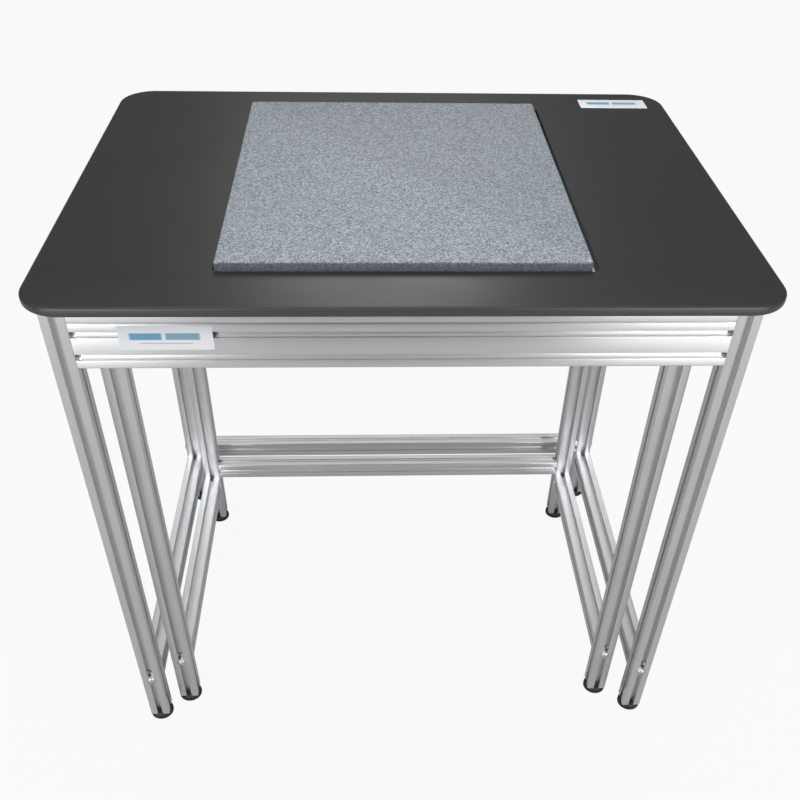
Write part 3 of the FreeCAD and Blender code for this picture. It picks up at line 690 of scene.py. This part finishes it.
foot_nodes = [name for name in nodes if slot_of_node[name] == "black_rubber"]
for node in foot_nodes:
    x, y, _ = middle_mm(node)
    foot = skinned("rubber_" + node, [foot_ring(x, y, *level) for level in FOOT_LEVELS], rubber,
                   smooth_below=50)
    stands_for(foot, node)
print(len(foot_nodes), "feet of", len(foot.data.polygons), "faces")

# %% [markdown]
# ## Screws and studs
# A screw is a turned shape with a hexagon sunk in its head. All its rings have 24 points, so a round ring can
# be followed by a six-sided one: the ring's radius is the distance to the hexagon's side at each angle. The
# thread is a stack of rings whose radius steps in and out.

# %% Patterns: bolt, countersunk screw and stud
M8, M8_PITCH = 4.0, 1.25
M6, M6_PITCH = 3.0, 1.0
BOLT_HEAD, BOLT_LENGTH, BOLT_THREAD = 7.0, 50, 22
BOLT_DOME = (0.0, 0.2, 0.45, 0.7, 0.9, 1.05)
SCREW_HEAD, SCREW_LENGTH = 5.7, 10
STUD_LENGTH = 33


def turned(radius, z):
    return ring(radius, z=z)


def hexagon(across, z):
    """A ring round a hexagon, across its flats."""
    def to_side(angle):
        off_flat = (angle + math.pi / 6) % (math.pi / 3) - math.pi / 6
        return across / 2 / math.cos(off_flat)

    return ring(to_side, z=z)


def thread(radius, low, high, pitch, depth=0.45):
    """Rings of a thread, drawn as plain grooves."""
    rings = []
    for k in range(int((high - low) / pitch)):
        z = low + k * pitch
        rings += [turned(radius - depth, z), turned(radius, z + pitch * 0.4), turned(radius, z + pitch * 0.6)]
    return rings


def button_bolt():
    """A bolt whose head stands on z = 0, with its shank below."""
    rings = [turned(2.8, -BOLT_LENGTH), *thread(M8, 0.5 - BOLT_LENGTH, BOLT_THREAD - BOLT_LENGTH, M8_PITCH)]
    rings += [turned(3.9, -27), turned(3.9, 0), turned(6.7, 0.0), turned(BOLT_HEAD, 0.3)]
    rings += [turned(BOLT_HEAD * math.cos(a), 0.9 + 3.5 * math.sin(a)) for a in BOLT_DOME]
    rings += [turned(3.3, 4.1), hexagon(5.2, 4.0), hexagon(5.0, 3.8), hexagon(5.0, 1.8), turned(1.2, 1.3)]
    return skin("button_bolt", rings, zinc)


def countersunk_screw():
    """A screw whose flat head ends at z = 0."""
    rings = [turned(2.2, -SCREW_LENGTH), *thread(M6, 0.3 - SCREW_LENGTH, -3.4, M6_PITCH, 0.35)]
    rings += [turned(M6, -2.8), turned(SCREW_HEAD, -0.1), turned(SCREW_HEAD, 0.0)]
    rings += [hexagon(4.1, 0.0), hexagon(4.0, -0.15), hexagon(4.0, -1.7), turned(1.0, -1.9)]
    return skin("countersunk_screw", rings, zinc)


def foot_stud():
    """A stud that stands on z = 0, with a bevel at each end."""
    rings = [turned(3.2, 0), turned(M8, 0.8), *thread(M8, 1.6, STUD_LENGTH - 1.5, M8_PITCH)]
    return skin("foot_stud", rings + [turned(3.4, STUD_LENGTH - 0.4), turned(2.9, STUD_LENGTH)], zinc)


PATTERNS = {"bolt": button_bolt(), "screw": countersunk_screw(), "stud": foot_stud()}
print({name: len(mesh.polygons) for name, mesh in PATTERNS.items()})

# %% [markdown]
# ## A tree that sets patterns on points
# The table has 28 bolts, 22 small screws and 8 studs, and each kind is one shape in many places. A tree puts
# a pattern on every point of a small mesh and turns it by an angle that the point carries. Instances are
# light to work with, but the finished piece has to be a plain mesh, so the tree ends by making them real.

# %% The points tree
def points_tree():
    t = GeometryTree("set_on_points", [("Pattern", "Object"), ("Finish", "Material")])
    pattern = t.add("GeometryNodeObjectInfo", {"transform_space": "ORIGINAL"}, Object=t.given["Pattern"])
    carried = t.add("GeometryNodeInputNamedAttribute", {"data_type": "FLOAT_VECTOR"}, Name="turn")
    turn = t.add("FunctionNodeEulerToRotation", Euler=carried["Attribute"])["Rotation"]
    spread = t.add("GeometryNodeInstanceOnPoints", Points=t.given["Geometry"],
                   Instance=pattern["Geometry"], Rotation=turn)["Instances"]
    return t.end(spread, t.given["Finish"])


set_on_points = points_tree()


def set_patterns(name, kind, spots, node):
    """One zinc-plated piece for a node, with a pattern at every spot: a place in mm and a turn."""
    points = bpy.data.meshes.new("points")
    points.from_pydata([Vector(place) * MM for place, _ in spots], [], [])
    turns = points.attributes.new("turn", "FLOAT_VECTOR", "POINT")
    for entry, (_, turn) in zip(turns.data, spots):
        entry.vector = turn.to_euler()
    pattern = add_object("pattern", PATTERNS[kind])
    piece = run_tree(name, set_on_points, points, {"Pattern": pattern, "Finish": zinc})
    bpy.data.objects.remove(pattern)
    stands_for(piece, node)


print("set_on_points has", len(set_on_points.nodes), "nodes")

# %% [markdown]
# ## Bolts through the legs
# Each bolt goes through a leg into the core of a rail. We know the bars' boxes, so the bolts' places follow
# from them: a rail's middle line, met by the outer face of the leg beyond its end.

# %% Bolts and studs
# each beam, with the height of a pair of bolts from its middle line
BEAM_BOLTS = {"table": (("front_apron", -SIDE), ("front_apron", SIDE), ("table_low_rear_beam", 0)),
              "stand": (("stand_upper_rail_front", 0), ("stand_upper_rail_rear", 0),
                        ("stand_low_rear_beam", 0))}


def head_turn(outward):
    """The turn for a screw whose head faces outward."""
    return facing(outward, UP if abs(outward.z) < 0.5 else BACK)


def end_bolts(bar, axis, rise=0):
    """A bolt at each end of a bar, with its head on the outer face of the leg there."""
    spots = []
    for way, end in zip((-1, 1), in_mm(bar)):
        spot = Vector(middle_mm(bar)) + UP * rise
        spot[axis] = end[axis] + way * PROFILE
        spots.append((spot, head_turn(way * WAYS[axis][0])))
    return spots


for family in ("table", "stand"):
    rail_spots = [spot for level in ("low", "upper") for hand in ("left", "right")
                  for spot in end_bolts(f"{family}_{level}_rail_{hand}", 1)]
    beam_spots = [spot for beam, rise in BEAM_BOLTS[family] for spot in end_bolts(beam, 0, rise)]
    set_patterns(f"{family}_rail_bolt_set", "bolt", rail_spots, f"{family}_rail_bolts")
    set_patterns(f"{family}_beam_bolt_set", "bolt", beam_spots, f"{family}_beam_bolts")
    print(family, "has", len(rail_spots), "rail bolts and", len(beam_spots), "beam bolts")

stud_nodes = [name for name in nodes if "_stud_" in name]
for node in stud_nodes:
    x, y, _ = middle_mm(node)
    set_patterns("thread_" + node, "stud", [((x, y, in_mm(node)[0][2]), Matrix.Identity(3))], node)
print(len(stud_nodes), "studs")

# %% [markdown]
# ## Small screws under the top
# The angle brackets and joining plates are held by short M6 screws with countersunk heads, so nothing stands
# proud. A bracket's frame screw sits on the middle line of a rail's slot, and its top screw goes up into the
# board a little further in.

# %% Countersunk screws
BRACKET_SPREAD, PLATE_SPREAD = 300, 200
PLATE, TOP_HOLE, SECOND_HOLE = 3, 15, 20
INWARD = {"front": BACK, "rear": -BACK, "left": RIGHT, "right": -RIGHT}
rails = {side: [Vector(corner) for corner in in_mm(node)] for side, node in (
    ("front", "front_upper_rail"), ("rear", "rear_upper_rail"),
    ("left", "table_upper_rail_left"), ("right", "table_upper_rail_right"))}
board_bottom = in_mm("tabletop")[0][2]
rail_bottom = rails["rear"][0].z
rail_middle = (rails["front"][0].x + rails["front"][1].x) / 2


def rail_face(side, step):
    """The point on a rail's inner face, at the board's underside and step mm from the rail's middle."""
    low, high = rails[side]
    spot = (low + high) / 2 + INWARD[side] * SIDE
    spot.x += step
    spot.z = board_bottom
    return spot


def bracket_spots(corner, inward):
    """The two screws of an angle bracket whose corner is here: one into a bar's side, one upwards."""
    return ((corner + inward * PLATE - UP * SECOND_HOLE, head_turn(inward)),
            (corner + inward * TOP_HOLE - UP * PLATE, head_turn(-UP)))


frame_spots, top_spots = [], []
for side, step in (("front", -1), ("front", 1), ("rear", -1), ("rear", 1), ("left", 0), ("right", 0)):
    shift = step * BRACKET_SPREAD - rail_middle if step else 0
    into_bar, into_board = bracket_spots(rail_face(side, shift), INWARD[side])
    frame_spots.append(into_bar)
    top_spots.append(into_board)
leg_low, leg_high = in_mm("table_leg_rear_left")
for side, x in (("left", leg_high[0]), ("right", in_mm("table_leg_rear_right")[0][0])):
    frame_spots += bracket_spots(Vector((x, (leg_low[1] + leg_high[1]) / 2, rail_bottom)), INWARD[side])
for step in (-1, 0, 1):
    for rise in (-SIDE, SIDE):
        spot = Vector((step * PLATE_SPREAD, rails["front"][1].y + PLATE, rail_bottom + rise))
        frame_spots.append((spot, head_turn(BACK)))
set_patterns("bracket_screw_set", "screw", frame_spots, "frame_screws")
set_patterns("board_screw_set", "screw", top_spots, "top_screws")
print(len(frame_spots), "screws in the frame and", len(top_spots), "in the board")

# %% [markdown]
# ## Cover strips
# A strip snaps into a slot and lies flush with the bar's face. It comes out of the bars' tree with a section
# of its own: a slightly crowned face between the lips, and a wide flange behind them. Each strip stops a
# little short of the legs, and the apron's upper strip is broken beside the label.

# %% Cover strips
STRIP_HALF, CROWN = 3.6, 2.0
STRIP_FLANGE = [(3.6, -2.6), (5.2, -2.6), (5.2, -3.6)]
SHORT, BREAK = 7, (-226, -216)
MISSING_END = {"table": 66, "stand": 0}


def strip_outline(steps=12):
    """A crowned face between the lips, and a flange behind them."""
    across = [STRIP_HALF * (1 - 2 * k / steps) for k in range(steps + 1)]
    face = [(x, -CROWN * (x / STRIP_HALF) ** 2) for x in across]
    return face + [(-x, y) for x, y in STRIP_FLANGE] + list(reversed(STRIP_FLANGE))


def lay_strip(bar, outward, middle, start, end):
    """One strip in mm along X, on a bar's face, with its middle line at this height or depth."""
    low, high = in_mm(bar)
    place = Vector((start, middle, high[2]) if outward is UP else (start, low[1], middle))
    return press("strip", strip_section, (end - start) * MM, place * MM, RIGHT, outward, bright_strip)


def gather(name, things):
    """Join finished things into one piece."""
    with bpy.context.temp_override(active_object=things[0], selected_editable_objects=things):
        bpy.ops.object.join()
    things[0].name = things[0].data.name = name
    return things[0]


strip_section = outline_object("strip_section", [strip_outline()])
low, high = in_mm("front_apron")
lower_slot, upper_slot = low[2] + SIDE, high[2] - SIDE
first, last = low[0] + SHORT, high[0] - SHORT
stands_for(gather("apron_strips", [
    lay_strip("front_apron", -BACK, lower_slot, first, last),
    lay_strip("front_apron", -BACK, upper_slot, first, BREAK[0]),
    lay_strip("front_apron", -BACK, upper_slot, BREAK[1], last)]), "apron_cover_strips")

for family, missing in MISSING_END.items():
    beam = family + "_low_rear_beam"
    (low, high), (_, y, z) = in_mm(beam), middle_mm(beam)
    first, last = low[0] + SHORT, high[0] - SHORT - missing
    strips = gather(family + "_beam_strips", [
        lay_strip(beam, UP, y, first, last), lay_strip(beam, -BACK, z, first, last)])
    stands_for(strips, family + "_beam_cover_strips")
    print(family, "beam's strips run from", round(first), "to", round(last), "mm")

# %% [markdown]
# ## Pads, caps and labels
# These are all low blocks, drawn as a stack of soft rectangles that draws in near the top and the bottom. The
# film of a label is only 0.3 mm thick, but its soft edge catches the light too.

# %% Helpers: soft blocks
BLOCK_CORNER_STEPS, BLOCK_EDGE_STEPS = 5, 4


def soft_block(name, low, high, finish, corner=2.0, edge=0.6):
    """A block in mm with round upright corners and eased top and bottom edges."""
    ease = quarter_round(edge, BLOCK_EDGE_STEPS)
    levels = [(shrink, low[2] + drop) for shrink, drop in ease]
    levels += [(shrink, high[2] - drop) for shrink, drop in reversed(ease)]
    return skinned(name, [soft_rectangle(low, high, shrink, max(corner - shrink, 0.05), z, BLOCK_CORNER_STEPS)
                          for shrink, z in levels], finish)


def corner_places(node, wide, deep):
    """Where blocks of this size sit in the four corners of a node's box."""
    low, high = in_mm(node)
    return [(x, y) for x in (low[0], high[0] - wide) for y in (low[1], high[1] - deep)]


def set_blocks(name, node, places, wide, deep, finish, *softness):
    """One piece for a node, made of equal blocks as high as its box."""
    low, high = in_mm(node)
    blocks = [soft_block("block", (x, y, low[2]), (x + wide, y + deep, high[2]), finish, *softness)
              for x, y in places]
    stands_for(gather(name, blocks), node)


# %% Pads and caps
PAD_WIDE, PAD_DEEP, TOP_PAD, CAP = 40, 20, 25, 30
CAP_SOFTNESS = 2.5, 1.2
slab_places = corner_places("slab_pads", PAD_WIDE, PAD_DEEP)
set_blocks("slab_rubber_pads", "slab_pads", slab_places, PAD_WIDE, PAD_DEEP, pad_rubber)

top_places = corner_places("tabletop_pads", TOP_PAD, TOP_PAD)
(left, front), (right, rear) = top_places[0], top_places[-1]
halfway = (front + rear) / 2
top_places += [(-TOP_PAD / 2, front), (-TOP_PAD / 2, rear), (left, halfway), (right, halfway)]
set_blocks("top_rubber_pads", "tabletop_pads", top_places, TOP_PAD, TOP_PAD, pad_rubber)

cap_places = corner_places("stand_leg_caps", CAP, CAP)
set_blocks("leg_end_caps", "stand_leg_caps", cap_places, CAP, CAP, cap_plastic, *CAP_SOFTNESS)
print(len(slab_places), "pads under the slab,", len(top_places), "under the top,", len(cap_places), "caps")

# %% [markdown]
# ## Labels
# A label is a printed film, stuck flat. Its print is generic: a blue bar, a greyer one beside it and a thin
# rule under both, with no lettering. The material draws the print from each point's place on the film.

# %% Material: label film
FILM_GREY, FILM_WHITE = (0.80, 0.83, 0.86, 1), (0.86, 0.88, 0.90, 1)
# each bar's ends and edges, as shares of the film's width and height, and its ink
PRINT = (((0.12, 0.46), (0.42, 0.70), (0.14, 0.37, 0.57, 1)),
         ((0.50, 0.86), (0.42, 0.70), (0.24, 0.41, 0.52, 1)),
         ((0.22, 0.78), (0.25, 0.30), (0.52, 0.57, 0.62, 1)))
INK_SPREAD = 0.012


def label_film(name, low, high, upright):
    """White film with bars. The place on the film goes from 0 to 1 both ways."""
    f = Finish(name, Specular_IOR_Level=0.5)
    apart = f.node("ShaderNodeSeparateXYZ", Vector=f.place()).outputs
    width, height = [f.ramp(apart[k], low[k] * MM, high[k] * MM) for k in (0, 2 if upright else 1)]
    dust = f.noise(900, 3)
    colour = f.blend(dust, FILM_GREY, FILM_WHITE)
    for ends, edges, ink in PRINT:
        inside = 1.0
        for value, limits in ((width, ends), (height, edges)):
            for limit, way in zip(limits, (INK_SPREAD, -INK_SPREAD)):
                inside = f.times(inside, f.ramp(value, limit - way, limit + way))
        colour = f.blend(inside, colour, ink)
    return f.finish(colour, f.ramp(dust, 0.3, 0.7, 0.34, 0.44), dust, depth=0.02, strength=0.3)


# %% Labels
FILM_SOFTNESS = 1.2, 0.08
STAND_UP = Matrix(((1, 0, 0), (0, 0, -1), (0, 1, 0))).to_4x4()
for node, upright in (("front_label", True), ("top_label", False)):
    low, high = in_mm(node)
    film = label_film(node + "_print", low, high, upright)
    if upright:
        flat = soft_block("film_" + node, (low[0], low[2], 0), (high[0], high[2], high[1] - low[1]), film,
                          *FILM_SOFTNESS)
        flat.data.transform(Matrix.Translation((0, high[1] * MM, 0)) @ STAND_UP)
    else:
        flat = soft_block("film_" + node, low, high, film, *FILM_SOFTNESS)
    stands_for(flat, node)
    print(node, "film is", [round(b - a, 1) for a, b in zip(low, high)], "mm")

# %% [markdown]
# ## Brackets, plates and nuts
# Four nodes keep the mesh that they come with: the angle brackets under the top, the corner brackets, the
# joining plates behind the apron, and the nuts in the slots. They are plain shapes whose holes are cut
# through already, so they only need the zinc finish.

# %% Zinc finish for the CAD pieces
kept_nodes = ("top_brackets", "corner_brackets", "joining_plates", "slot_nuts")
for name in kept_nodes:
    mesh = nodes[name].data
    mesh.materials.clear()
    mesh.materials.append(zinc)
print(len(kept_nodes), "CAD nodes wear", zinc.name)

# %% [markdown]
# ## Floor
# The floor's own colour is a middle grey, so that it doesn't throw too much light up at the object. The
# camera is shown nearly white instead: Light Path tells which kind of ray has met the floor, and by that kind
# plain white is mixed in. Reflections get less of it. Part of the grey always stays, and with it the shadow.

# %% Floor
SHOWN_TO_CAMERA, SHOWN_TO_METAL = 0.93, 0.13
FLOOR_HALF = 9


def end_in_white(tree, shader, white, to_camera, end):
    """Mix in white by the kind of ray: to_camera for the camera's own, less for a mirrored or bent one."""
    path = tree.node("ShaderNodeLightPath").outputs
    mirrored = tree.reckon("MAXIMUM", path["Is Glossy Ray"], path["Is Transmission Ray"])
    share = tree.reckon("MAXIMUM", tree.times(path["Is Camera Ray"], to_camera),
                        tree.times(mirrored, SHOWN_TO_METAL))
    mix = tree.node("ShaderNodeMixShader")
    tree.fill(mix, {0: share, 1: shader, 2: white})
    tree.fill(tree.tree.nodes[end], {"Surface": mix.outputs[0]})


def pale_floor():
    f = Finish("pale_floor", Roughness=0.9)
    f.fill(f.shader, {"Base Color": f.blend(f.noise(60, 4), grey(0.36), grey(0.39))})
    end_in_white(f, f.shader.outputs[0], f.add("Emission", Strength=1.0), SHOWN_TO_CAMERA, "Material Output")
    return f.material


floor_mesh = bpy.data.meshes.new("floor")
floor_mesh.from_pydata([(x * FLOOR_HALF, y * FLOOR_HALF, 0) for x, y in ((-1, -1), (1, -1), (1, 1), (-1, 1))],
                       [], [(0, 1, 2, 3)])
floor_mesh.materials.append(pale_floor())
floor = add_object("floor", floor_mesh)
print("floor is", FLOOR_HALF * 2, "m wide")

# %% [markdown]
# ## Lamps
# Two large weak panels stand in front, left and right. Slotted metal mirrors them in the ends of the apron
# and leaves its middle darker, which makes it read as metal. They are large rather than strong, so nothing
# that mirrors them burns out. Higher boxes give the front faces their plain light. A long box hangs overhead,
# a little behind the middle, as the front lamps already light the near half of the slab. Behind the table, a
# small box with a narrow beam makes the sheen on the front of the top, a large weak one far off makes the
# broad sheen, and two low boxes brighten the low rails.

# %% Lamps
def soft_lamp(name, place, aim, size, watts, spread=180):
    """A rectangular area lamp, size metres wide and high, that looks at a point."""
    data = bpy.data.lights.new(name, "AREA")
    data.shape = "RECTANGLE"
    data.size, data.size_y = size
    data.energy = watts
    data.spread = math.radians(spread)
    lamp = add_object(name, data)
    lamp.location = place
    lamp.rotation_euler = (Vector(aim) - Vector(place)).to_track_quat("-Z", "Y").to_euler()
    lamp.visible_camera = False
    return lamp


lamps = [soft_lamp("lamp_over", (0, 0.45, 3.0), (0, 0, 0.8), (1.8, 0.3), 13),
         soft_lamp("lamp_behind", (0, 0.95, 1.5), (0, -0.33, 0.8), (0.52, 0.34), 0.18, spread=50),
         soft_lamp("lamp_far_behind", (0, 3.0, 2.1), (0, 0, 0.8), (1.3, 1.6), 2.0)]
for hand, way in (("left", -1), ("right", 1)):
    for name, (x, y, z), (aim_x, *aim), size, watts in (
            ("lamp_", (1.38, -1.7, 0.77), (0.6, 0, 0.6), (1.6, 1.5), 11),
            ("high_lamp_", (1.5, -2.0, 2.5), (0, -0.2, 0.7), (1.5, 1.2), 25),
            ("low_lamp_", (0.94, 1.0, 0.64), (0.47, 0.2, 0.3), (0.6, 0.28), 0.6)):
        lamps.append(soft_lamp(name + hand, (way * x, y, z), (way * aim_x, *aim), size, watts))
print(len(lamps), "lamps,", round(sum(lamp.data.energy for lamp in lamps), 2), "W")

# %% [markdown]
# ## The air around
# The world is a soft dome, dim at the horizon and full overhead, as in a room with a lit ceiling. A level
# black top mirrors the dome, so the way it fades is what shapes the sheen. The camera sees plain white in its
# place, by the same rule as on the floor.

# %% World
DOME = {"From_Min": 0.25, "From_Max": 0.88, "To_Min": 0.04, "To_Max": 0.75}
world = bpy.data.worlds.new("studio")
bpy.context.scene.world = world
world.use_nodes = True
w = ShaderTree(world.node_tree)
rise = w.add("SeparateXYZ", "Z", Vector=w.add("TexCoord", "Generated"))
strength = w.add("MapRange", settings={"interpolation_type": "SMOOTHSTEP"}, Value=rise, **DOME)
dome = w.add("Background", Color=grey(1.0), Strength=strength)
end_in_white(w, dome, w.add("Background", Color=grey(1.0), Strength=1.0), 1.0, "World Output")
print("dome strength from", DOME["To_Min"], "to", DOME["To_Max"])

# %% [markdown]
# ## Camera
# The camera looks down at the table from the front, a step above its top. Its turn is built from three
# directions at right angles: ahead, to the side and up. Shift slides the frame without turning the camera.

# %% Camera
CAMERA_PLACE = Vector((-0.04632, -1.21881, 1.30256))
PITCH, YAW, ROLL = 0.75514, 0.05535, 0.02645
LENS_MM, SENSOR_MM = 41.495, 36
SHIFT = (-0.00865, 0.16276)

ahead = Vector((math.sin(YAW) * math.cos(PITCH), math.cos(YAW) * math.cos(PITCH), -math.sin(PITCH)))
level_side = Vector((math.cos(YAW), -math.sin(YAW), 0))
level_up = level_side.cross(ahead)
camera_side = math.cos(ROLL) * level_side + math.sin(ROLL) * level_up
camera_up = math.cos(ROLL) * level_up - math.sin(ROLL) * level_side
camera_data = bpy.data.cameras.new("camera")
camera_data.lens, camera_data.sensor_width = LENS_MM, SENSOR_MM
camera_data.shift_x, camera_data.shift_y = SHIFT
camera = add_object("camera", camera_data)
camera.matrix_world = (Matrix.Translation(CAMERA_PLACE)
                       @ Matrix((camera_side, camera_up, -ahead)).transposed().to_4x4())
bpy.context.scene.camera = camera
bpy.context.scene.view_settings.view_transform = "Standard"
print("the lens is", LENS_MM, "mm long")

# %% [markdown]
# ## Clear up
# The flat sections have done their work and would count as pieces, so they go.

# %% Clear the helpers away
for helper in (square_section, double_section, strip_section):
    bpy.data.objects.remove(helper)
